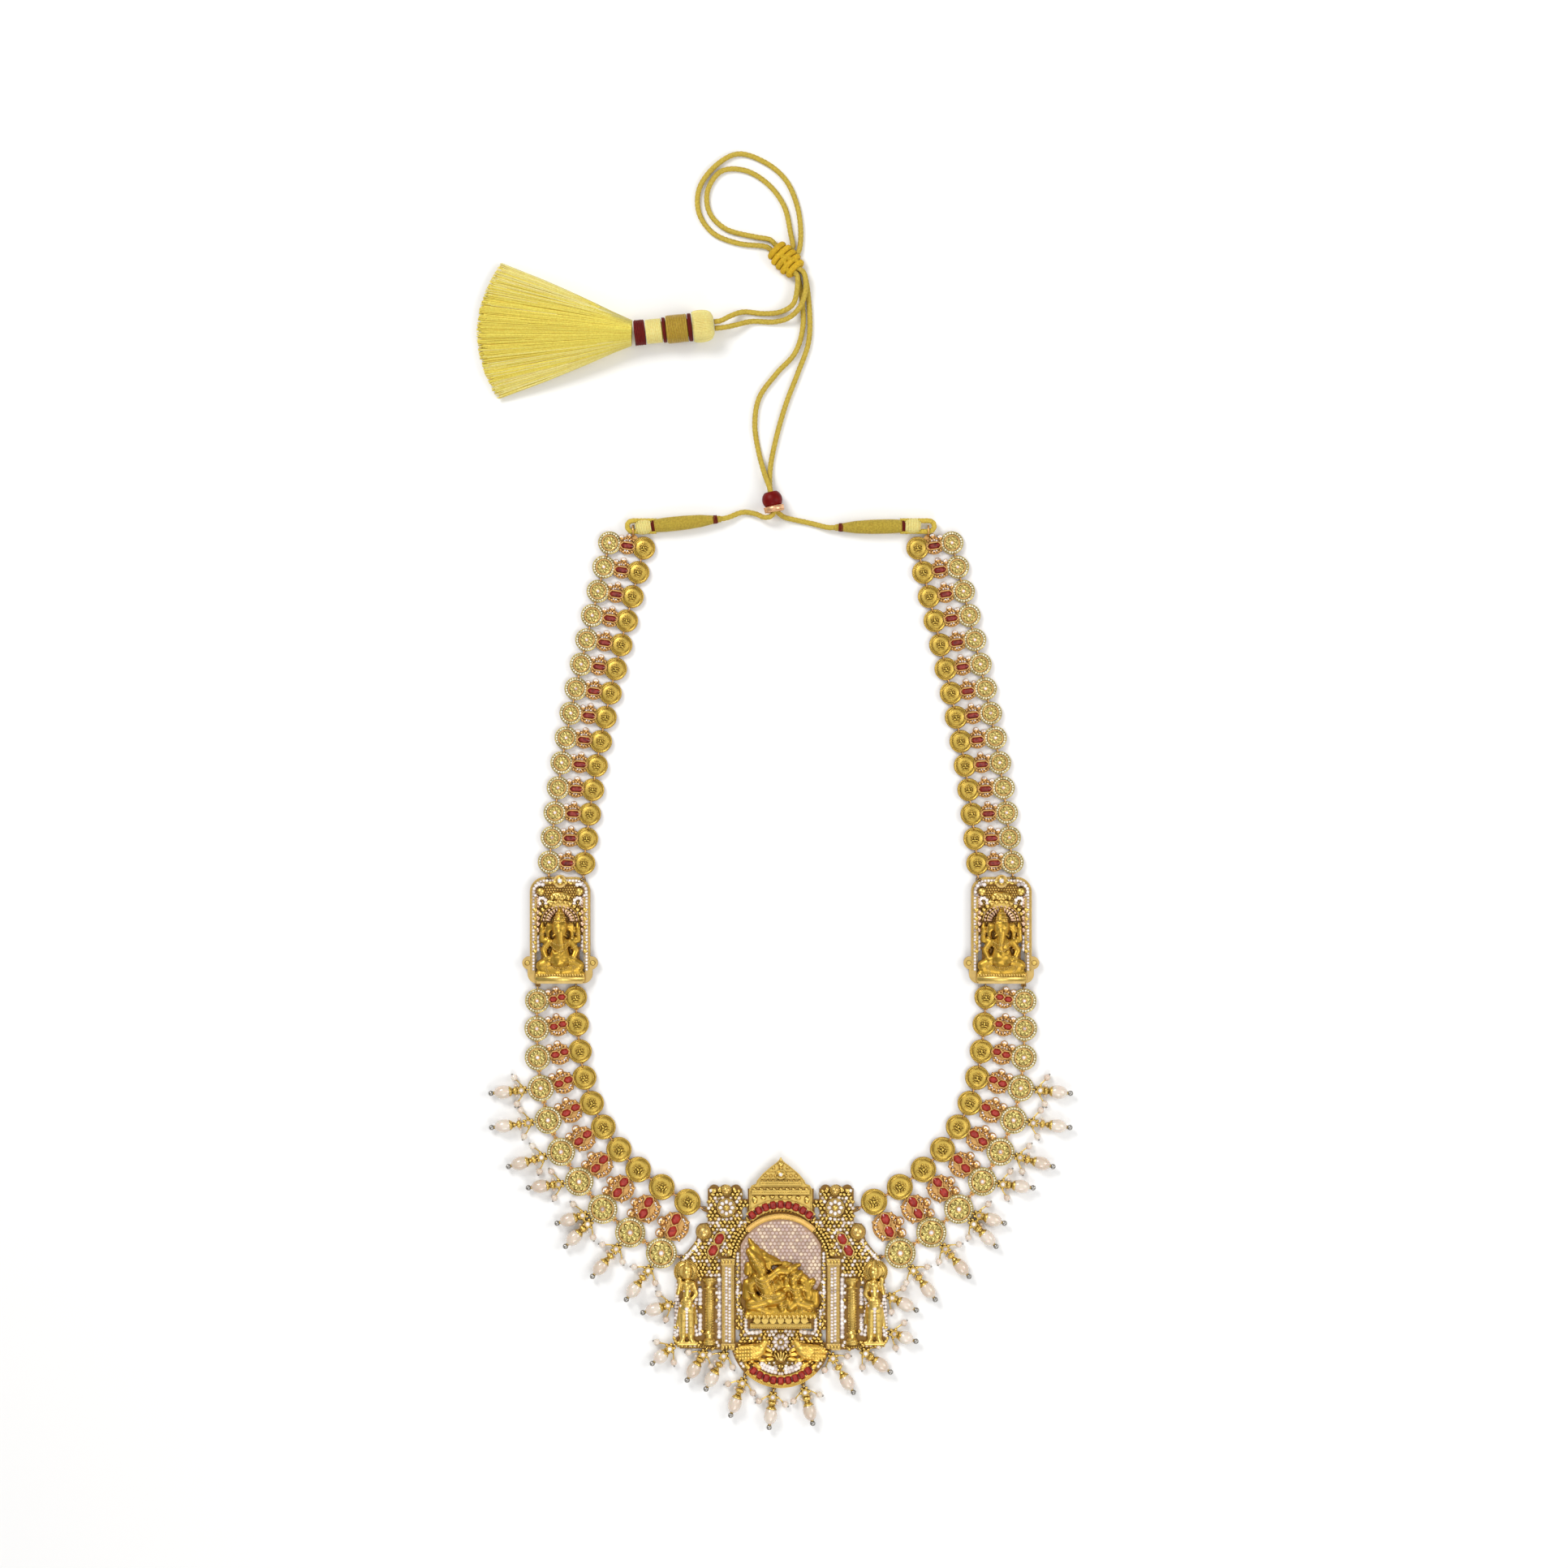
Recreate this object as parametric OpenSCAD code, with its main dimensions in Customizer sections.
// Long temple necklace, lying flat with its front up. Millimetres, +Z up, the surface is z = 0.
// The right-hand run is modelled and the left-hand one mirrors it. Only the cord differs by side.

/* [Runs of links] */
// Links in each upper run, from the cord down to the plaque
upper_links = 14; // [8:1:14]
// Links in each lower run, from the plaque down to the pendant
lower_links = 10; // [10:1:10]
// Distance from link to link in the upper run
upper_pitch = 9.2; // [9.1:0.05:9.3]
// Distance from the first lower link to the second
lower_pitch_first = 10.1; // [10:0.1:10.4]
// Distance from the last lower link but one to the last
lower_pitch_last = 12.4; // [12.1:0.1:12.6]
// Distance along the run from the last upper link to the first lower link
plaque_span = 50.6; // [50:0.2:52]
// Disc centre to coin centre in the upper run
upper_width = 12.8; // [12.6:0.1:13]
// Disc centre to coin centre in the first lower link
lower_width_first = 14.2; // [14:0.1:14.6]
// Disc centre to coin centre in the last lower link
lower_width_last = 21.2; // [20.6:0.1:21.6]

/* [Discs and coins] */
// Diameter of disc and coin in the upper run
upper_disc_d = 8.5; // [8.3:0.1:8.5]
// Diameter of the stone-edged disc in the first lower link
disc_d_first = 9.0; // [8.8:0.1:9.2]
// Diameter of the stone-edged disc in the last lower link
disc_d_last = 11.4; // [11:0.1:11.8]
// Diameter of the coin in the first lower link
coin_d_first = 8.6; // [8.4:0.1:8.7]
// Diameter of the coin in the last lower link
coin_d_last = 9.8; // [9.5:0.1:9.9]

/* [Rings and eyelets] */
// Wire of the joining rings
wire_d = 0.5; // [0.4:0.05:0.5]
// Centre line diameter of the joining rings
ring_d = 1.9; // [1.9:0.05:2]
// Thickness of a disc's flange and of every eyelet
flange_t = 0.8; // [0.7:0.05:0.8]
// Hole that a joining ring passes through
hole_d = 1.0; // [1:0.05:1.1]

/* [Pendant] */
// Width of the pendant's body between its outer pillars
pendant_w = 54; // [54:0.5:56]
// Thickness of the pierced back plate
plate_t = 1.6; // [1.4:0.1:1.6]
// Rubies in the channel over the arch
arch_stone_count = 9; // [7:2:9]
// Rubies in the crescent at the foot
crescent_stone_count = 9; // [7:2:9]

/* [Drops] */
// Length of an oval pearl
pearl_l = 7.0; // [6.4:0.1:7.2]
// Diameter of an oval pearl
pearl_d = 5.0; // [4.6:0.1:5]
// Diameter of the bead that ends a drop
end_bead_d = 1.9; // [1.6:0.1:2]

/* [Cord and tassel] */
// Diameter of the silk cord
cord_d = 2.0; // [1.9:0.05:2.05]
// Diameter of the sliding bead
slider_d = 7.5; // [7.4:0.1:7.6]
// Length of the bound stretch at each end of the cord
wrap_l = 24.8; // [24:0.2:24.8]
// Length of the tassel's fringe beyond its head
fringe_l = 57; // [50:1:58]
// Width of the fringe at its free end
fringe_w = 50; // [46:1:54]

/* [Hidden] */
$fn = 48;
gold = "goldenrod";
ruby = "crimson";
silk = "darkkhaki";
cream = "khaki";

// Heights: flanges and eyelets sit at the middle of the joining rings, which rest on the surface.
joint_z = ring_d / 2 + wire_d / 2;
flange_z0 = joint_z - flange_t / 2;
flange_z1 = joint_z + flange_t / 2;
flange_w = 1.35;
// Small gap between two pieces that lie on each other, and round a stone in its seat
seat_gap = 0.1;
stone_gap = 0.12;
// A joint's centre lies halfway between two edges. Its hole, its ring and the tab ends keep these offsets.
tab_end = 0.3;
hole_in = 1.15;
ring_in = 0.25;
eyelet_r = 0.85;
tab_w = 1.8;
min_cut = 20;

// The centre line of the right-hand run, from its first link down to the pendant, as [x, y]
run_points = [
    [57, 159.7], [67.5, 114.7], [74.7, 78.2], [79.3, 41.7], [82, 16.2], [83, -9.1],
    [81, -37.7], [74.4, -58.3], [61.2, -76.7], [41.8, -91.3], [22, -99.7]
];
run_steps = 12;
links = upper_links + lower_links;
plaque_at = [81.6, 16.3];
pendant_y = -109.8;

// A smooth curve through b and c, at share t of the way, with a and d before and after them
function smooth(a, b, c, d, t) =
    0.5 * (2 * b + (c - a) * t + (2 * a - 5 * b + 4 * c - d) * t * t + (3 * b - a - 3 * c + d) * t * t * t);
last_point = len(run_points) - 1;
run_line = [
    for (k = [0 : last_point - 1])
        for (j = [0 : run_steps - 1])
            smooth(run_points[max(k - 1, 0)], run_points[k], run_points[k + 1],
                   run_points[min(k + 2, last_point)], j / run_steps)
];
run_length = [
    for (k = 0, s = 0; k < len(run_line); k = k + 1, s = s + (k < len(run_line) ? norm(run_line[k] - run_line[k - 1]) : 0))
        s
];
run_x = [for (k = [0 : len(run_line) - 1]) [run_length[k], run_line[k].x]];
run_y = [for (k = [0 : len(run_line) - 1]) [run_length[k], run_line[k].y]];
function run_at(s) = [lookup(s, run_x), lookup(s, run_y)];
function heading_at(s) = let (d = run_at(s + 2) - run_at(s - 2)) atan2(d.y, d.x);

function polar(angle, length) = length * [cos(angle), sin(angle)];
function angle_of(v) = atan2(v.y, v.x);
function mix(a, b, t) = a + (b - a) * t;

// Place and size of link i, counted from the cord: i = 0 is the first one
function is_upper(i) = i < upper_links;
function low(i) = i - upper_links;
function share(i) = low(i) / (lower_links - 1);
function link_s(i) =
    is_upper(i) ? i * upper_pitch
    : (upper_links - 1) * upper_pitch + plaque_span + low(i) * lower_pitch_first
      + (lower_pitch_last - lower_pitch_first) / (lower_links - 2) * low(i) * (low(i) - 1) / 2;
function link_w(i) = is_upper(i) ? upper_width : mix(lower_width_first, lower_width_last, share(i));
function disc_r(i) = (is_upper(i) ? upper_disc_d : mix(disc_d_first, disc_d_last, share(i))) / 2;
function coin_r(i) = (is_upper(i) ? upper_disc_d : mix(coin_d_first, coin_d_last, share(i))) / 2;
// Outer discs lie a little further down the run than their coins, most of all in the upper links.
row_tilt = 4.5;
function link_turn(i) = heading_at(link_s(i)) + 90 - row_tilt * (is_upper(i) ? 1 : 1 - share(i));
function link_at(i) = run_at(link_s(i));
function disc_at(i) = link_at(i) + polar(link_turn(i), link_w(i) / 2);
function coin_at(i) = link_at(i) - polar(link_turn(i), link_w(i) / 2);

// The joints of a run: [centre, direction from the upper piece to the lower one].
function joint_between(a, ra, b, rb) =
    let (d = b - a, u = d / norm(d)) [a + u * (ra + (norm(d) - ra - rb) / 2), angle_of(d)];
function joint_below(a, ra, angle) = [a + polar(angle, ra + 0.45), angle];
function joint_above(b, rb, angle) = [b - polar(angle, rb + 0.45), angle];
// Directions in which the last link's coin and disc meet the pendant's arms
arm_angle_coin = 202;
arm_angle_disc = 192;
plaque_angle = -88;
function below(i, at, r, outer) =
    i == upper_links - 1 ? joint_below(at, r, plaque_angle)
    : i == links - 1 ? joint_below(at, r, outer ? arm_angle_disc : arm_angle_coin)
    : outer ? joint_between(at, r, disc_at(i + 1), disc_r(i + 1))
    : joint_between(at, r, coin_at(i + 1), coin_r(i + 1));
function disc_joint(i) = below(i, disc_at(i), disc_r(i), true);
function coin_joint(i) = below(i, coin_at(i), coin_r(i), false);
function disc_joint_over(i) =
    i == upper_links ? joint_above(disc_at(i), disc_r(i), plaque_angle) : disc_joint(i - 1);
function coin_joint_over(i) =
    i == upper_links ? joint_above(coin_at(i), coin_r(i), plaque_angle) : coin_joint(i - 1);

// Drops on the right-hand run: [lower link, turn from the link's own outward direction, length]
run_drops = [
    [3, 8, 14.2], [4, 14, 16.6], [5, 15, 15.6], [6, 32, 14.2],
    [7, 31, 12.8], [7, 3, 14.6], [8, 6, 16.4], [9, 10, 16.4]
];
// Drops round the pendant, in its own frame: [x and y of the joint, direction, length]
pendant_drops = [
    [[-39.8, -11], 196, 12.6], [[-39.5, -26.3], 220, 11.4], [[-27.7, -28.1], 238, 14],
    [[-20.2, -28.5], 242, 16.8], [[-13.5, -38.4], 250, 15.6], [[-2.7, -43.5], 263, 14.2],
    [[8.5, -41.8], 284, 14.7], [[18.3, -29.4], 301, 17.6], [[29.8, -28.1], 323, 14.4],
    [[40.1, -21.4], 341, 11.4], [[39.4, -7.8], 333, 13]
];

// The cord's routes, as [x, y, z], with one ring of the tube at each point
lead_left_route = [
    [-22.5, 169.4, 2.7], [-19.8, 169.9, 2.3], [-14, 172, 1.2], [-9.2, 171.3, 2.2], [-6.2, 170, 3.7],
    [-3.7, 170.3, 4.8], [-2.4, 172.3, 5.15], [-3.95, 180.2, 5.15], [-6, 186.1, 3], [-8.2, 194.5, 1.05],
    [-9.6, 204.5, 1.05], [-8, 214.3, 1.05], [-1.6, 223.3, 1.05], [5.4, 231.2, 1.05], [8.3, 242, 1.05],
    [6.1, 259.5, 1.1], [5.45, 260.15, 1.1]
];
lead_right_route = [
    [20.5, 166.3, 2.7], [17.6, 166.3, 2.3], [11.6, 167.8, 1.15], [4.6, 169.3, 1.4], [1.4, 170.1, 2.1],
    [-0.8, 171.6, 2.75], [-2.6, 173.9, 2.85], [-3.95, 180.2, 2.85], [-3.9, 188, 1.1],
    [-1.9, 198.6, 1.05], [1.8, 211.7, 1.05], [6.5, 224, 1.05], [10.2, 234.6, 1.05], [10.7, 245.5, 1.05],
    [8.6, 260.2, 1.1], [7.1, 261.75, 1.1]
];
loop_outer_route = [
    [5.9, 267.6, 1.2], [6.6, 268.4, 1.1], [7.4, 274, 1.05], [6.3, 284.5, 1.05], [1.8, 295, 1.05],
    [-6.2, 301.7, 1.05], [-16, 304.6, 1.05], [-24.6, 299.8, 1.05], [-30.2, 291.6, 1.05],
    [-30.2, 282.6, 1.05], [-25, 275.3, 1.05], [-15.6, 271.5, 1.05], [-5.9, 270.4, 1.1],
    [-4.3, 269.7, 1.2], [-3.35, 268.7, 1.2]
];
loop_inner_route = [
    [3.85, 269.55, 1.2], [4.4, 270.4, 1.1], [3.7, 275, 1.05], [1.2, 285.4, 1.05], [-5, 293.7, 1.05],
    [-13.6, 298.6, 1.05], [-22, 298.2, 1.05], [-27, 291.2, 1.05], [-26.4, 283, 1.05],
    [-20.6, 277, 1.05], [-9.4, 273.9, 1.05], [-4, 272.9, 1.1], [-2.5, 271.55, 1.2], [-1.5, 270.55, 1.2]
];
tail_upper_route = [
    [5.45, 260.15, 3.35], [6.1, 259.5, 3.35], [6, 253.9, 3.3], [4.4, 248.6, 3.3], [0, 246.1, 1.8],
    [-6, 245.5, 1.1], [-14, 246.1, 1.3], [-18.8, 244.3, 3.6], [-22.2, 242.5, 5], [-24.6, 242.1, 5.2]
];
tail_lower_route = [
    [7.1, 261.75, 3.35], [8.6, 260.2, 3.35], [9.2, 254.5, 3.3], [7.3, 248.1, 3.3], [3.2, 243.9, 3.1],
    [-2, 242.5, 1.3], [-11, 242.6, 1.2], [-17, 241, 3.4], [-21.2, 240, 5], [-24.35, 239.65, 5.2]
];
// The sliding bead on the cord, its lean to the left and the bore for both strands
slider_at = [-3.15, 176.45, 4];
slider_lean = 12;
slider_bore_d = 4.7;
// The bound eyes: y of the eyes, how far out they end, where each binding starts, and its rise
eye_y = 166.8;
eye_x = 54.8;
wrap_x_left = 47.5;
wrap_x_right = 45.6;
wrap_z = 2.7;
wrap_rise_left = 6;
wrap_rise_right = -1.2;
eye_r = 2.0;
// The ring on the first link that holds the eye
eye_ring_at = [54.6, 165.1, 2.25];
eye_ring_r = 1.95;
eye_ring_wire_d = 0.6;
// The knot, a bound block across the strands
knot_at = [1.9, 265.3];
knot_turn = 135;
knot_size = [12, 7.6, 5];
// The tassel's axis, from the cap's open end to the fringe
tassel_at = [-24.4, 240.9];
tassel_turn = 186;
tassel_z = 6;
tassel_core_r = 3.5;

// A ruby with an eight-sided table, eight crown and eight pavilion facets. a and b are its half sizes.
function stone_outline(a, b, c) =
    [[a, b - c], [a - c, b], [c - a, b], [-a, b - c], [-a, c - b], [c - a, -b], [a - c, -b], [a, c - b]];
stone_table = 0.6;
stone_culet = 0.3;
module stone(a, b, c, crown, pavilion) {
    edge = stone_outline(a, b, c);
    polyhedron(
        points = concat(
            [for (p = edge) [p.x * stone_culet, p.y * stone_culet, -pavilion]],
            [for (p = edge) [p.x, p.y, 0]],
            [for (p = edge) [p.x * stone_table, p.y * stone_table, crown]]
        ),
        faces = concat(
            [[for (i = [0 : 7]) i]],
            [for (ring = [0, 8]) for (i = [0 : 7]) [ring + i, ring + i + 8, ring + (i + 1) % 8 + 8, ring + (i + 1) % 8]],
            [[for (i = [7 : -1 : 0]) 16 + i]]
        )
    );
}
module stone_prism(a, b, c, grow, z0, z1) {
    translate([0, 0, z0])
        linear_extrude(z1 - z0)
            polygon(stone_outline(a + grow, b + grow, c + grow * 0.6));
}

// The two rubies of a lower link lie in line, and the one ruby of an upper link is a bar.
function stone_places(i) = is_upper(i) ? [[0.475, -0.01]] : [[0.355, 0.04], [0.58, 0]];
function stone_a(i) = is_upper(i) ? 2.3 : 0.1 * link_w(i);
function stone_b(i) = is_upper(i) ? 0.95 : 0.068 * link_w(i);
function stone_c(i) = stone_b(i) * 0.8;
girdle_z = 2.0;
crown_h = 0.5;
pavilion_h = 0.75;
collet_wall = 0.4;

module ring_wire(centre_r, d) {
    rotate([90, 0, 0])
        rotate_extrude()
            translate([centre_r, 0])
                circle(d = d);
}
// The ring that is soldered to the upper piece of a joint and passes through the lower one's eyelet
module joint_ring(joint) {
    translate([joint[0].x, joint[0].y, joint_z])
        rotate(joint[1])
            translate([ring_in, 0, 0])
                ring_wire(ring_d / 2, wire_d);
}
module tab_shape(joint, from, to) {
    translate(joint[0])
        rotate(joint[1])
            translate([from, -tab_w / 2])
                square([to - from, tab_w]);
}
module eyelet_shape(joint, reach) {
    tab_shape(joint, hole_in, hole_in + reach);
    translate(joint[0])
        rotate(joint[1])
            translate([hole_in, 0])
                circle(r = eyelet_r);
}
module hole_shape(joint) {
    translate(joint[0])
        rotate(joint[1])
            translate([hole_in, 0])
                circle(d = hole_d);
}
module flange() {
    translate([0, 0, flange_z0])
        linear_extrude(flange_t)
            children();
}
module eyelet_hole(joint) {
    translate([0, 0, -1])
        linear_extrude(6)
            hole_shape(joint);
}
// Room under and over an eyelet for its ring, where the eyelet is part of a thicker plate
pocket_r = 1.2;
module pocket_shape(joint) {
    translate(joint[0])
        rotate(joint[1]) {
            translate([hole_in, 0])
                circle(r = pocket_r);
            translate([-1.5, -pocket_r])
                square([hole_in + 1.5, 2 * pocket_r]);
        }
}
module eyelet_pocket(joint) {
    for (z = [flange_z0 - min_cut, flange_z1])
        translate([0, 0, z])
            linear_extrude(min_cut)
                pocket_shape(joint);
}
// A joint as its lower piece sees it when that piece carries the ring, as a drop does
function reversed(joint) = [joint[0], joint[1] + 180];

// Relief of the outer disc, inside the flange that carries the stone halo: a collar and a domed rosette
relief_z0 = flange_z0 + 0.3;
module halo_relief(r) {
    collar = r - flange_w;
    rotate_extrude()
        polygon([
            [0, relief_z0], [collar, relief_z0], [collar, flange_z1 + 0.5], [collar - 0.35, flange_z1 + 0.5],
            [collar - 0.5, flange_z1 + 0.1], [collar * 0.62, flange_z1 + 0.1], [collar * 0.45, flange_z1 + 0.5],
            [collar * 0.2, flange_z1 + 0.75], [0, flange_z1 + 0.8]
        ]);
}
// Relief of the inner coin: a raised rim and a low embossed field
module coin_relief(r) {
    rim = r - flange_w;
    rotate_extrude()
        polygon([
            [0, relief_z0], [rim, relief_z0], [rim - 0.1, flange_z1 + 0.45], [rim - 0.4, flange_z1 + 0.45],
            [rim - 0.55, flange_z1 + 0.15], [rim * 0.5, flange_z1 + 0.3], [rim * 0.3, flange_z1 + 0.6], [0, flange_z1 + 0.7]
        ]);
}
// The middle of a link, in a frame with x from the coin to the disc and y towards the cord
function lobes(i) = is_upper(i) ? [[0.46, 0.27], [0.68, 0.19]] : [[0.5, 0.24], [0.7, 0.18]];
function lobe_r(i) = 0.073 * link_w(i);
function body_r(i) = (is_upper(i) ? 0.26 : 0.25) * link_w(i);
body_place = [0.48, 0];
module cartouche_shape(i) {
    w = link_w(i);
    translate([coin_r(i) - 0.9, -1.1])
        square([w - coin_r(i) - disc_r(i) + 1.8, 2.2]);
    translate(body_place * w)
        circle(r = body_r(i));
    for (lobe = lobes(i))
        translate(lobe * w)
            circle(r = lobe_r(i) + 0.25);
}
module cartouche_relief(i) {
    w = link_w(i);
    r = body_r(i);
    translate([body_place.x * w, body_place.y * w, 0])
        rotate_extrude()
            polygon([[r - 0.75, relief_z0], [r - 0.2, relief_z0], [r - 0.3, flange_z1 + 0.3], [r - 0.65, flange_z1 + 0.3]]);
    for (lobe = lobes(i))
        translate([lobe.x * w, lobe.y * w, flange_z1])
            sphere(r = lobe_r(i));
    for (place = stone_places(i))
        translate([place.x * w, place.y * w, 0])
            stone_prism(stone_a(i), stone_b(i), stone_c(i), stone_gap + collet_wall, relief_z0, girdle_z + 0.15);
}
module in_row(i) {
    translate([coin_at(i).x, coin_at(i).y, 0])
        rotate(link_turn(i))
            children();
}
function upper_joints(i) = i > 0 ? [disc_joint_over(i), coin_joint_over(i)] : [];
function lower_joints(i) = [disc_joint(i), coin_joint(i)];
module link_shape(i) {
    difference() {
        union() {
            translate(disc_at(i))
                circle(r = disc_r(i));
            translate(coin_at(i))
                circle(r = coin_r(i));
            translate(coin_at(i))
                rotate(link_turn(i))
                    cartouche_shape(i);
            for (joint = lower_joints(i))
                tab_shape(joint, -1.4, -tab_end);
            for (joint = upper_joints(i))
                eyelet_shape(joint, 0.6);
            if (i == 0)
                translate(coin_at(i))
                    rotate(angle_of(eye_lug))
                        translate([0, -tab_w / 2])
                            square([norm(eye_lug) + 0.2, tab_w]);
        }
        for (joint = upper_joints(i))
            hole_shape(joint);
        for (drop = run_drops)
            if (drop[0] == low(i))
                hole_shape(reversed(drop_joint(drop)));
    }
}
eye_lug = [eye_ring_at.x, eye_ring_at.y - eye_ring_r] - coin_at(0);
module link(i) {
    difference() {
        union() {
            flange()
                link_shape(i);
            translate([disc_at(i).x, disc_at(i).y, 0])
                halo_relief(disc_r(i));
            translate([coin_at(i).x, coin_at(i).y, 0])
                coin_relief(coin_r(i));
            in_row(i)
                cartouche_relief(i);
            for (joint = lower_joints(i))
                joint_ring(joint);
            if (i == 0)
                translate(eye_ring_at)
                    rotate(90)
                        ring_wire(eye_ring_r, eye_ring_wire_d);
        }
        in_row(i)
            for (place = stone_places(i))
                translate([place.x * link_w(i), place.y * link_w(i), 0])
                    stone_prism(stone_a(i), stone_b(i), stone_c(i), stone_gap, girdle_z - pavilion_h - stone_gap, min_cut);
    }
}
module link_stones(first, last) {
    for (i = [first : last])
        in_row(i)
            for (place = stone_places(i))
                translate([place.x * link_w(i), place.y * link_w(i), girdle_z])
                    stone(stone_a(i), stone_b(i), stone_c(i), crown_h, pavilion_h);
}
module run(first, last) {
    color(gold)
        for (i = [first : last])
            link(i);
}

// Plaque in its own frame, upright, with the origin at the middle of its height
plaque_half_w = 11.2;
shoulder_r = 5.6;
shoulder_y = 15.2;
plaque_base_y = -18.6;
plaque_slots = [[6.6, -1.9, 1.7, 6.4], [8.2, -10.4, 2.0, 8.6]];
// The plaque's round-shouldered body, inside a border of the given width
module plaque_arch(border) {
    half_w = plaque_half_w - border;
    corner_r = shoulder_r - border;
    for (side = [-1, 1])
        translate([side * (half_w - corner_r), shoulder_y])
            circle(r = corner_r);
    translate([corner_r - half_w, shoulder_y])
        square([2 * (half_w - corner_r), corner_r]);
    translate([-half_w, plaque_base_y + 4])
        square([2 * half_w, shoulder_y - plaque_base_y - 4]);
}
module plaque_outline() {
    plaque_arch(0);
    translate([-12, -15.1])
        square([24, 3]);
    translate([-8.6, plaque_base_y])
        square([17.2, 4]);
    for (side = [-1, 1]) {
        translate([side * 8.5, plaque_base_y + 3.5])
            circle(r = 3.5);
        translate([side * 11.6, -11])
            circle(r = 2.4);
    }
}
module plaque_body() {
    difference() {
        union() {
            linear_extrude(plate_t)
                plaque_outline();
            // raised arch and side posts that carry the clear stones
            translate([0, 0, plate_t - 0.2])
                linear_extrude(1.2)
                    difference() {
                        plaque_outline();
                        plaque_arch(2.7);
                        translate([2.7 - plaque_half_w, plaque_base_y - 1])
                            square([2 * (plaque_half_w - 2.7), 8]);
                    }
            // leaf crest over the arch
            translate([0, shoulder_y + shoulder_r - 1.6, 0])
                cylinder(r = 2.4, h = 3.4);
            // stepped lotus seat
            translate([-8.6, plaque_base_y, 0])
                cube([17.2, 1.5, 4.4]);
            translate([-8.4, plaque_base_y + 1.5, 0])
                cube([16.8, 1.0, 3.6]);
        }
        for (side = [-1, 1]) {
            for (slot = plaque_slots)
                translate([side * slot[0] - slot[2] / 2, slot[1] - slot[3] / 2, -1])
                    cube([slot[2], slot[3], min_cut]);
            translate([side * 12.1, -11, -1])
                cylinder(r = 1.0, h = min_cut);
        }
    }
}
module plaque() {
    color(gold)
        difference() {
            union() {
                translate([plaque_at.x, plaque_at.y, 0])
                    plaque_body();
                flange() {
                    for (joint = lower_joints(upper_links - 1))
                        eyelet_shape(joint, 5);
                    for (joint = upper_joints(upper_links))
                        tab_shape(joint, -5, -tab_end);
                }
                for (joint = upper_joints(upper_links))
                    joint_ring(joint);
            }
            for (joint = lower_joints(upper_links - 1)) {
                eyelet_hole(joint);
                eyelet_pocket(joint);
            }
        }
}
// Rounded limb between two balls
module limb(a, ra, b, rb) {
    hull() {
        translate(a)
            sphere(r = ra, $fn = 10);
        translate(b)
            sphere(r = rb, $fn = 10);
    }
}
module above(z) {
    intersection() {
        children();
        translate([-60, -60, z])
            cube([120, 120, 30]);
    }
}
// Seated elephant-headed figure, in the plaque's frame
module seated_figure() {
    above(plate_t + seat_gap) {
        // crossed legs and round belly
        limb([-6.8, -12.6, 2.6], 2.2, [1, -13.5, 3.4], 2.0);
        limb([6.8, -12.6, 2.6], 2.2, [-1, -13.5, 3.4], 2.0);
        limb([0, -9, 3.4], 4.2, [0, -3.8, 3.0], 3.5);
        // four arms
        for (side = [-1, 1]) {
            limb([side * 4, -2.4, 2.8], 1.5, [side * 6.2, -7.6, 3.0], 1.2);
            limb([side * 4, -1.6, 2.4], 1.3, [side * 5.6, 2.4, 2.6], 1.0);
            // ear
            limb([side * 3.2, 4.6, 3.2], 1.8, [side * 4.4, 3, 2.6], 1.6);
        }
        // head, trunk and crown
        limb([0, 4.8, 4.6], 2.9, [0, 3, 4.8], 2.5);
        limb([0, 2.8, 6.4], 1.4, [-0.6, -3.2, 6.6], 1.1);
        limb([-0.6, -3.2, 6.6], 1.1, [1.6, -5.6, 6.8], 0.8);
        limb([0, 6.8, 4.0], 2.4, [0, 11.6, 3.0], 1.0);
    }
}
module figure() {
    color(gold)
        translate([plaque_at.x, plaque_at.y, 0])
            seated_figure();
}

// Pendant parts, in the pendant's own frame: its origin is pendant_y on the centre line.
channel_at = 9.4;
channel_r = 16.4;
band_at = 4.0;
band_r = 18.4;
band_t = 2.0;
crescent_at = -23.6;
crescent_r = 15.7;
tier_stone = [1.05, 1.4, 0.35];
stone_step = 10;
pillar_x = 26.4;
column_x = 19.5;
attendant_x = 34.4;
side_stone_places = [[22.7, 13], [25, 8.8]];
side_stone_turn = -61;
// Slots through the back plate, for each side: [x, y, width, height]
frame_slots = [
    [13.2, 30.4, 2.0, 5.6], [13.4, 22.4, 1.8, 4.6], [22.7, -12.5, 1.5, 23], [29.9, -8, 1.2, 7],
    [29.9, -18.6, 1.2, 8], [10, -21.4, 4.4, 2.2], [4.9, -34.3, 3.2, 1.4], [15.9, -22.8, 1.6, 5]
];
module in_pendant() {
    translate([0, pendant_y, 0])
        children();
}
module sides() {
    for (side = [0, 1])
        mirror([side, 0, 0])
            children();
}
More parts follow.
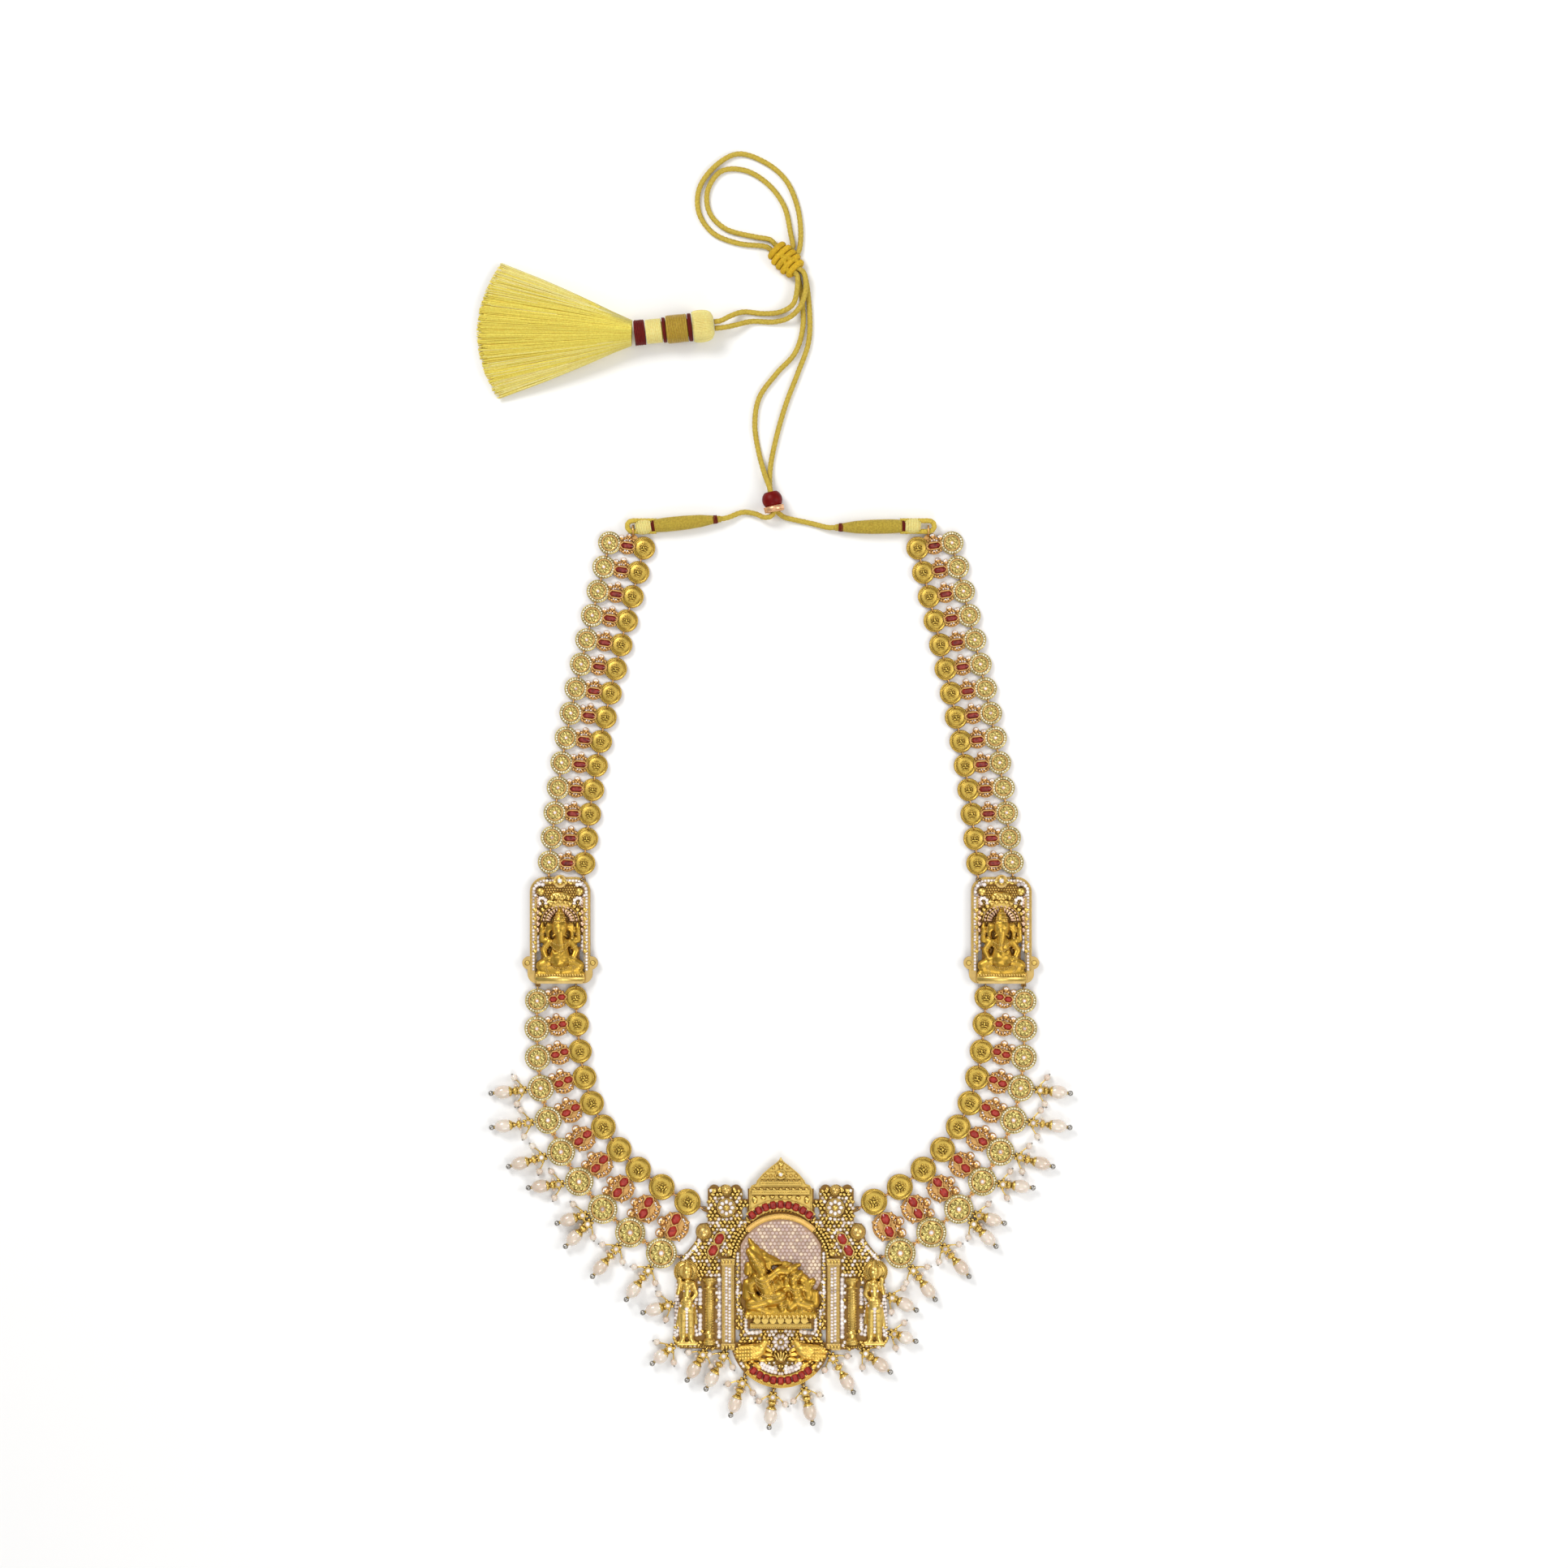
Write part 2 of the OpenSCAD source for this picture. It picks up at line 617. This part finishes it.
// Part of a ring about the origin, up to half_angle on each side of +y
module arc_band(r_in, r_out, half_angle) {
    reach = 2 * r_out;
    difference() {
        intersection() {
            circle(r = r_out);
            polygon([[0, 0], polar(90 - half_angle, reach), [0, reach], polar(90 + half_angle, reach)]);
        }
        circle(r = r_in);
    }
}
module frame_outline() {
    translate([-pendant_w / 2, -28])
        square([pendant_w, 59.5]);
    for (side = [-1, 1]) {
        for (x = [16.6, 20.6, 24.6])
            translate([side * x, 31])
                circle(r = 2);
        translate([side * 28.4, 15.6])
            circle(r = 3.1);
        translate([side * attendant_x, 0.6])
            circle(r = 4.4);
    }
    for (side = [0, 1])
        mirror([side, 0, 0])
            polygon([
                [26, -27.6], [37.2, -27.6], [39.8, -24], [38.4, -2], [38.2, 3], [36, 6.5], [31.5, 12], [30, 18.5], [26, 19]
            ]);
    difference() {
        translate([0, crescent_at])
            circle(r = crescent_r + 2.9);
        translate([-30, -20])
            square([60, 30]);
    }
}
// Round knob that stands on the plate, cut flat just under the plate's face
module knob(r) {
    intersection() {
        sphere(r = r);
        translate([-r, -r, -0.4])
            cube([2 * r, 2 * r, r + 0.4]);
    }
}
function pendant_joint(drop) = [drop[0] + [0, pendant_y], drop[1]];
module pendant_frame() {
    color(gold)
        difference() {
            union() {
                in_pendant() {
                    linear_extrude(plate_t)
                        frame_outline();
                    sides() {
                        // stone-set columns beside the arch, each with a foot and a head
                        translate([column_x - 2.2, -27, plate_t - 0.2])
                            cube([4.4, 32, 1.2]);
                        translate([column_x - 2.5, -28, plate_t - 0.2])
                            cube([5, 2.4, 2]);
                        translate([column_x - 2.5, 3.4, plate_t - 0.2])
                            cube([5, 2.4, 2]);
                        // corner flower, its knob and the side knob
                        translate([column_x + 0.6, 24.6, plate_t - 0.2])
                            cylinder(r = 3.5, h = 1.2);
                        translate([column_x + 0.6, 31, plate_t])
                            knob(1.9);
                        translate([28.4, 15.6, plate_t])
                            knob(2.8);
                        for (place = side_stone_places)
                            translate([place.x, place.y, 0])
                                rotate(side_stone_turn)
                                    stone_prism(2.1, 1.4, 1, stone_gap + collet_wall, plate_t - 0.2, girdle_z + 0.75);
                    }
                    // flower and bud between the birds
                    translate([0, -25, plate_t - 0.2])
                        cylinder(r = 2.9, h = 1.3);
                    translate([0, -30.8, plate_t])
                        knob(2.1);
                }
                flange() {
                    sides()
                        for (arm = lower_joints(links - 1))
                            eyelet_shape(arm, 9);
                    for (drop = pendant_drops)
                        eyelet_shape(reversed(pendant_joint(drop)), 4.6);
                }
            }
            in_pendant()
                sides() {
                    for (slot = frame_slots)
                        translate([slot[0] - slot[2] / 2, slot[1] - slot[3] / 2, -1])
                            cube([slot[2], slot[3], min_cut]);
                    for (place = side_stone_places)
                        translate([place.x, place.y, 0])
                            rotate(side_stone_turn)
                                stone_prism(2.1, 1.4, 1, stone_gap, girdle_z - 0.3, min_cut);
                }
            sides()
                for (arm = lower_joints(links - 1)) {
                    eyelet_hole(arm);
                    eyelet_pocket(arm);
                }
            for (drop = pendant_drops) {
                eyelet_hole(reversed(pendant_joint(drop)));
                eyelet_pocket(reversed(pendant_joint(drop)));
            }
        }
}
module side_stones() {
    color(ruby)
        in_pendant()
            sides()
                for (place = side_stone_places)
                    translate([place.x, place.y, girdle_z + 0.6])
                        rotate(side_stone_turn)
                            stone(2.1, 1.4, 1, crown_h, pavilion_h);
}
// Turned upright piece lying on the plate: [radius, y] pairs from foot to head, cut flat at its back
module lying_turned(profile, axis_z, z0) {
    above(z0)
        translate([0, 0, axis_z])
            rotate([-90, 0, 0])
                rotate_extrude()
                    polygon(concat([[0, profile[0][1]]], profile, [[0, profile[len(profile) - 1][1]]]));
}
channel_wall = 0.35;
tier_z = 3.3;
module stone_ring(count, r, facing) {
    for (k = [0 : count - 1])
        rotate(facing + (k - (count - 1) / 2) * stone_step)
            translate([0, r, 0])
                children();
}
finial_edge = [
    [11.6, 22], [11.6, 31.4], [10.8, 32.8], [9.2, 33.4], [8.8, 34.6], [6.6, 37.2], [3.8, 39.6], [1.4, 41.4]
];
module finial_shape() {
    polygon(concat(finial_edge, [[0, 42.9]], [for (k = [7 : -1 : 0]) [-finial_edge[k].x, finial_edge[k].y]]));
}
module finial() {
    z0 = plate_t + seat_gap;
    color(gold)
        in_pendant()
            difference() {
                union() {
                    translate([0, 0, z0])
                        linear_extrude(1.2)
                            difference() {
                                finial_shape();
                                translate([0, channel_at])
                                    circle(r = channel_r + 1.2);
                            }
                    // stepped roof bands
                    translate([-10.6, 29.6, z0])
                        cube([21.2, 1.6, 2.4]);
                    translate([-7.6, 33, z0])
                        cube([15.2, 1.4, 2.0]);
                    translate([0, 37, z0])
                        cylinder(r = 1.8, h = 1.8);
                    translate([0, channel_at, z0])
                        linear_extrude(tier_z - z0)
                            arc_band(channel_r - tier_stone[1] - stone_gap - channel_wall,
                                     channel_r + tier_stone[1] + stone_gap + channel_wall, 45);
                }
                translate([0, channel_at, 0])
                    stone_ring(arch_stone_count, channel_r, 0)
                        stone_prism(tier_stone[0], tier_stone[1], tier_stone[2], stone_gap, z0 + 0.4, min_cut);
            }
}
module tier_stones(count, at, r, facing) {
    color(ruby)
        in_pendant()
            translate([0, at, tier_z - 0.15])
                stone_ring(count, r, facing)
                    stone(tier_stone[0], tier_stone[1], tier_stone[2], crown_h, pavilion_h);
}
module arch_band() {
    color(gold)
        in_pendant()
            translate([0, band_at, plate_t + seat_gap])
                linear_extrude(1.9)
                    arc_band(band_r - band_t, band_r, 45);
}
screen_t = 0.9;
module pave_screen() {
    color("thistle")
        in_pendant()
            translate([0, 0, plate_t + seat_gap])
                linear_extrude(screen_t)
                    intersection() {
                        translate([0, band_at])
                            circle(r = band_r - band_t - 0.2);
                        translate([-14.8, -6])
                            square([29.6, 30]);
                    }
}
// A seated pair on one cushion, with plain heads
module seated_pair() {
    above(plate_t + 2 * seat_gap + screen_t) {
        // cushion and crossed legs
        limb([-11.4, -12.8, 3.2], 2.4, [11.6, -12.8, 3.2], 2.4);
        limb([-10, -8.4, 3.8], 2.6, [0.4, -9.8, 4.8], 2.5);
        limb([1.4, -8.2, 3.8], 2.4, [-5, -9.8, 4.8], 2.4);
        // larger figure
        limb([-3.8, -5.6, 4.4], 3.8, [-4.6, 1.6, 4.2], 3.6);
        limb([-5, 6.6, 5.4], 2.6, [-5.2, 7.4, 5.2], 2.6);
        limb([-5.6, 9, 4.8], 2.5, [-9, 13.2, 3.6], 1.0);
        limb([-8.2, 2.6, 4], 1.7, [-10.8, -3.8, 4.8], 1.4);
        limb([-10.8, -3.8, 4.8], 1.4, [-6, -6, 6.2], 1.2);
        limb([-1.2, 3.2, 4.2], 1.7, [5.4, 2.6, 4.2], 1.4);
        // smaller figure at its side
        limb([7, -7, 4], 3.2, [7.4, -1, 4], 2.8);
        limb([7.4, 3.4, 4.8], 2.3, [7.6, 4.4, 4.6], 2.2);
        limb([7.8, 5.8, 4.2], 1.6, [9.4, 8.2, 3.4], 0.8);
        limb([2.6, -9.4, 4.2], 2.2, [12.2, -9.2, 3.6], 2.2);
        limb([10, -0.6, 4], 1.3, [12.4, -5.2, 4.4], 1.1);
        // lotus knob at the left and scarf end at the right
        limb([-12, -5.4, 3.6], 2.0, [-11.6, -1.4, 3.4], 1.2);
        limb([11.8, 0.6, 3.4], 1.2, [13, -4.6, 3.2], 1.2);
    }
}
module deity_group() {
    color(gold)
        in_pendant()
            seated_pair();
}
module pedestal() {
    color(gold)
        in_pendant()
            above(plate_t + seat_gap) {
                translate([-11.2, -19.9, 0])
                    cube([22.4, 1.9, 4.6]);
                translate([-9.8, -18, 0])
                    cube([19.6, 2.6, 3.8]);
                for (k = [-3 : 3])
                    translate([k * 2.9, -16.8, 0])
                        cylinder(r = 1.25, h = 4.6);
            }
}
module pillar() {
    color(gold)
        in_pendant()
            translate([pillar_x, 0, 0])
                lying_turned([
                    [2.2, -26], [2.2, -24.4], [1.5, -23.6], [1.9, -22], [1.4, -21], [1.7, -13], [1.4, -6],
                    [1.9, -5.2], [1.4, -4.4], [2.3, -2.8], [2.3, -1.4]
                ], 1.9, plate_t + seat_gap);
}
module attendant() {
    color(gold)
        in_pendant()
            translate([attendant_x, 0, 0]) {
                lying_turned([
                    [3.8, -25.8], [4, -24.8], [3.9, -20], [3.2, -15.6], [2.3, -12], [2.8, -9], [3.3, -6.4],
                    [2.9, -4.6], [1.3, -3.8], [1.3, -2.4]
                ], 1.2, plate_t + seat_gap);
                above(plate_t + seat_gap)
                    translate([0, 0.6, 2.6])
                        sphere(r = 3.4);
            }
}
module bird() {
    color(gold)
        in_pendant()
            above(plate_t + seat_gap) {
                limb([8, -28.8, 3.4], 2.8, [13, -29.4, 2.9], 2.2);
                limb([6.2, -27, 4], 1.6, [5.2, -24.8, 4.2], 1.2);
                limb([5.2, -24.8, 4.2], 1.2, [3.8, -26.2, 4], 0.5);
                limb([11.6, -27.4, 3.2], 1.5, [15.4, -26.2, 2.4], 0.9);
                limb([12.4, -29, 3], 1.6, [15.6, -28.6, 2.3], 0.9);
                limb([12, -30.8, 2.8], 1.5, [15.2, -31.8, 2.3], 0.9);
                limb([8, -31, 2.8], 1.3, [12, -31.6, 2.4], 0.9);
            }
}
module crescent() {
    z0 = plate_t + seat_gap;
    color(gold)
        in_pendant()
            translate([0, crescent_at, 0])
                difference() {
                    translate([0, 0, z0])
                        linear_extrude(tier_z - z0)
                            rotate(180)
                                arc_band(crescent_r - tier_stone[1] - stone_gap - channel_wall, crescent_r + 2.7, 46);
                    stone_ring(crescent_stone_count, crescent_r, 180)
                        stone_prism(tier_stone[0], tier_stone[1], tier_stone[2], stone_gap, z0 + 0.4, min_cut);
                }
}

// Drops. In a drop's frame x runs outwards from the centre of its joint.
drop_z = pearl_d / 2 + 0.1;
pin_r = 0.28;
bore_r = 0.4;
function drop_joint(drop) =
    let (i = upper_links + drop[0], angle = link_turn(i) + drop[1])
    [disc_at(i) + polar(angle, disc_r(i) + 0.3), angle];
function pearl_len(length) = min(pearl_l, length - 5.4);
function pearl_x(length) = length - end_bead_d - 0.1 - pearl_len(length) / 2;
module drop_metal(length) {
    bead_x = length - end_bead_d / 2;
    translate([-ring_in, 0, joint_z])
        ring_wire(ring_d / 2, wire_d);
    translate([2, 0, 0.5])
        cylinder(r = 1.3, h = 2.7);
    translate([pearl_x(length) - pearl_len(length) / 2 - 1, 0, drop_z])
        rotate([0, 90, 0])
            cylinder(r1 = 0.6, r2 = 1.2, h = 0.9);
    translate([2, 0, drop_z])
        rotate([0, 90, 0])
            cylinder(r = pin_r, h = bead_x - 2);
    translate([bead_x, 0, drop_z])
        sphere(d = end_bead_d);
}
pearl_sides = 10;
module pearl(length) {
    half = pearl_len(length) / 2;
    // the profile leaves the bore where the half ellipse meets it
    start = acos(sqrt(1 - pow(bore_r / (pearl_d / 2), 2)));
    translate([pearl_x(length), 0, drop_z])
        rotate([0, 90, 0])
            rotate_extrude()
                polygon([
                    for (k = [0 : pearl_sides])
                        let (a = mix(start, 180 - start, k / pearl_sides))
                        [max(bore_r, pearl_d / 2 * sin(a)), -half * cos(a)]
                ]);
}
module at_joint(joint) {
    translate([joint[0].x, joint[0].y, 0])
        rotate(joint[1])
            children();
}
module run_drops_metal() {
    color(gold)
        for (drop = run_drops)
            at_joint(drop_joint(drop))
                drop_metal(drop[2]);
}
module run_pearls() {
    color("seashell")
        for (drop = run_drops)
            at_joint(drop_joint(drop))
                pearl(drop[2]);
}
module drops_pendant() {
    color(gold)
        for (drop = pendant_drops)
            at_joint(pendant_joint(drop))
                drop_metal(drop[2]);
}
module pearls_pendant() {
    color("seashell")
        for (drop = pendant_drops)
            at_joint(pendant_joint(drop))
                pearl(drop[2]);
}

// Cord tube with eight sides and a ring at each point of its route
cord_sides = 8;
function tangent(route, k) =
    let (d = route[min(k + 1, len(route) - 1)] - route[max(k - 1, 0)]) d / norm(d);
function tube_ring(route, k) =
    let (t = tangent(route, k), side_way = cross(t, [0, 0, 1]), u = side_way / norm(side_way), v = cross(u, t))
    [for (j = [0 : cord_sides - 1])
        route[k] + cord_d / 2 * (u * cos(360 * j / cord_sides) + v * sin(360 * j / cord_sides))];
module cord_tube(route) {
    rings = len(route);
    last = (rings - 1) * cord_sides;
    color(silk)
        polyhedron(
            points = [for (k = [0 : rings - 1]) each tube_ring(route, k)],
            faces = concat(
                [[for (j = [0 : cord_sides - 1]) j]],
                [for (k = [0 : rings - 2]) for (j = [0 : cord_sides - 1])
                    let (a = k * cord_sides, n = (j + 1) % cord_sides)
                    each [[a + j, a + j + cord_sides, a + n + cord_sides], [a + j, a + n + cord_sides, a + n]]],
                [[for (j = [cord_sides - 1 : -1 : 0]) last + j]]
            )
        );
}
// Bound eye: a loop of cord whose two strands are wound together
module eye_wrap(wrap_x, rise) {
    eye_l = eye_x - wrap_x;
    color(silk)
        translate([-wrap_x, eye_y, wrap_z]) {
            rotate([0, 90, rise])
                rotate_extrude()
                    polygon([
                        [0, 0], [2.0, 0], [2.4, 1.2], [wrap_z, 8], [wrap_z, 12], [2.3, 18], [1.5, 23], [1.1, wrap_l],
                        [0, wrap_l]
                    ]);
            translate([-eye_l, 0, 0])
                rotate(90)
                    rotate_extrude(angle = 180)
                        translate([eye_r, 0])
                            circle(d = cord_d - 0.1);
            for (side = [-1, 1])
                translate([-eye_l, side * eye_r, 0])
                    rotate([0, 90, 0])
                        cylinder(d = cord_d - 0.1, h = eye_l + 1);
        }
}
module eye_wrap_left() {
    eye_wrap(wrap_x_left, wrap_rise_left);
}
module eye_wrap_right() {
    mirror([1, 0, 0])
        eye_wrap(wrap_x_right, wrap_rise_right);
}
module on_slider() {
    translate(slider_at)
        rotate([0, 0, slider_lean])
            rotate([-90, 0, 0])
                children();
}
module slider_bead() {
    color("darkred")
        on_slider()
            difference() {
                sphere(d = slider_d);
                cylinder(d = slider_bore_d, h = min_cut, center = true);
            }
}
module slider_cap() {
    color(gold)
        on_slider()
            rotate_extrude()
                polygon([[3.45, -4.3], [3.8, -4.3], [3.98, -3.9], [3.98, -1.5], [3.56, -1.5], [3.45, -1.9]]);
}
module knot() {
    color(silk)
        translate([knot_at.x, knot_at.y, 0])
            rotate(knot_turn) {
                translate([-knot_size.x / 2, -knot_size.y / 2, 0.1])
                    cube([knot_size.x, knot_size.y, knot_size.z - 0.6]);
                for (x = [-3.6, -1.2, 1.2, 3.6])
                    translate([x, 0, 0.1])
                        rotate([0, 90, 0])
                            intersection() {
                                cylinder(r = knot_size.y / 2 + 0.3, h = 2.1, center = true);
                                translate([-knot_size.z, -knot_size.y, -2])
                                    cube([knot_size.z, 2 * knot_size.y, 4]);
                            }
            }
}

// Tassel. In its frame x runs along the axis from the cap to the fringe.
module in_tassel() {
    translate([tassel_at.x, tassel_at.y, tassel_z])
        rotate(tassel_turn)
            children();
}
module collar(x0, x1, r) {
    in_tassel()
        translate([x0, 0, 0])
            rotate([0, 90, 0])
                difference() {
                    cylinder(r = r, h = x1 - x0);
                    translate([0, 0, -1])
                        cylinder(r = tassel_core_r + seat_gap, h = x1 - x0 + 2);
                }
}
module tassel_cap() {
    color(cream)
        in_tassel()
            rotate([0, 90, 0])
                rotate_extrude()
                    polygon([[0, 0.3], [3.2, 0.3], [5, 1.2], [5.9, 3], [tassel_z, 4.4], [tassel_z, 7.4], [5.4, 8.2], [0, 8.2]]);
}
module tassel_ties() {
    color("firebrick") {
        collar(8.4, 9.9, 5.35);
        collar(18.1, 19.3, 4.8);
        collar(25.8, 29.8, 4.8);
    }
}
module tassel_gold_band() {
    color(gold)
        collar(10.1, 17.9, 5.3);
}
module tassel_collar() {
    color(cream)
        collar(19.5, 25.6, 4.6);
}
// The fringe lies as a fan of locks: ridges that start round at the neck and spread flat on the surface.
lock_count = 17;
fringe_x = 30.7;
// The fringe bends a little at its neck.
fringe_bend = -7.5;
neck_r = 5.4;
neck_z = 6;
// Stations along the fringe: [share of the way, half width, half height, share of the spread]
fringe_stations = [
    [0, neck_r, 5.2, 0], [0.14, 7.7, 4.7, 0.25], [0.34, 11.9, 3.6, 0.6], [0.64, 18.2, 2.4, 0.9], [1, fringe_w / 2, 1.4, 1]
];
lock_edges = 2 * lock_count;
function is_ridge(j) = j % 2 == 1;
function fringe_point(station, j, top) =
    let (
        t = station[0], f = 2 * j / lock_edges - 1, groove = is_ridge(j) ? 1 : 1 - 0.16 * sqrt(t + 0.08),
        half_h = station[2] * mix(cos(84 * f), 1 - 0.35 * f * f, station[3]) * (top ? groove : 1),
        mid_z = mix(neck_z, station[2] + 0.1, sqrt(t)) - tassel_z,
        length = (fringe_l - 8 * f * f) * t - (is_ridge(j) ? 0 : 1.1) * station[3] * t
    )
    [length, station[1] * mix(sin(84 * f), f, station[3]), mid_z + (top ? half_h : -half_h)];
// Points of one station: across the top from edge to edge, and back across the underside
function fringe_ring(station) = concat(
    [for (j = [0 : lock_edges]) fringe_point(station, j, true)],
    [for (j = [lock_edges : -1 : 0]) fringe_point(station, j, false)]
);
module tassel_fringe() {
    n = 2 * (lock_edges + 1);
    last = (len(fringe_stations) - 1) * n;
    color(cream)
        in_tassel() {
            translate([fringe_x, 0, 0])
                rotate(fringe_bend)
                    polyhedron(
                        points = [for (station = fringe_stations) each fringe_ring(station)],
                        faces = concat(
                            [[for (j = [n - 1 : -1 : 0]) j]],
                            [for (k = [0 : len(fringe_stations) - 2]) for (j = [0 : n - 1])
                                let (a = k * n, b = (j + 1) % n)
                                each [[a + j, a + b, a + b + n], [a + j, a + b + n, a + j + n]]],
                            [for (j = [0 : lock_edges - 1])
                                let (a = last + j, c = last + n - 1 - j)
                                each [[a, a + 1, c - 1], [a, c - 1, c]]]
                        )
                    );
            translate([8.4, 0, 0])
                rotate([0, 90, 0])
                    cylinder(r = tassel_core_r, h = fringe_x - 5.4, $fn = 16);
        }
}

module left() {
    mirror([1, 0, 0])
        children();
}
left() run(0, upper_links - 1);  // chain_upper_left
run(0, upper_links - 1);  // chain_upper_right
left() run(upper_links, links - 1);  // chain_lower_left
run(upper_links, links - 1);  // chain_lower_right
color(ruby) left() link_stones(0, upper_links - 1);  // stones_upper_left
color(ruby) link_stones(0, upper_links - 1);  // stones_upper_right
color(ruby) left() link_stones(upper_links, links - 1);  // stones_lower_left
color(ruby) link_stones(upper_links, links - 1);  // stones_lower_right
left() plaque();  // plaque_left
plaque();  // plaque_right
left() figure();  // figure_left
figure();  // figure_right
pendant_frame();
finial();
tier_stones(arch_stone_count, channel_at, channel_r, 0);  // arch_stones
arch_band();
pave_screen();
deity_group();
pedestal();
left() pillar();  // pillar_left
pillar();  // pillar_right
left() attendant();  // attendant_left
attendant();  // attendant_right
left() bird();  // bird_left
bird();  // bird_right
crescent();
tier_stones(crescent_stone_count, crescent_at, crescent_r, 180);  // crescent_stones
side_stones();
left() run_drops_metal();  // drops_left
run_drops_metal();  // drops_right
drops_pendant();
left() run_pearls();  // pearls_left
run_pearls();  // pearls_right
pearls_pendant();
eye_wrap_left();
eye_wrap_right();
cord_tube(lead_left_route);  // lead_left
cord_tube(lead_right_route);  // lead_right
cord_tube(loop_outer_route);  // loop_outer
cord_tube(loop_inner_route);  // loop_inner
cord_tube(tail_upper_route);  // tail_upper
cord_tube(tail_lower_route);  // tail_lower
slider_bead();
slider_cap();
knot();
tassel_cap();
tassel_ties();
tassel_gold_band();
tassel_collar();
tassel_fringe();
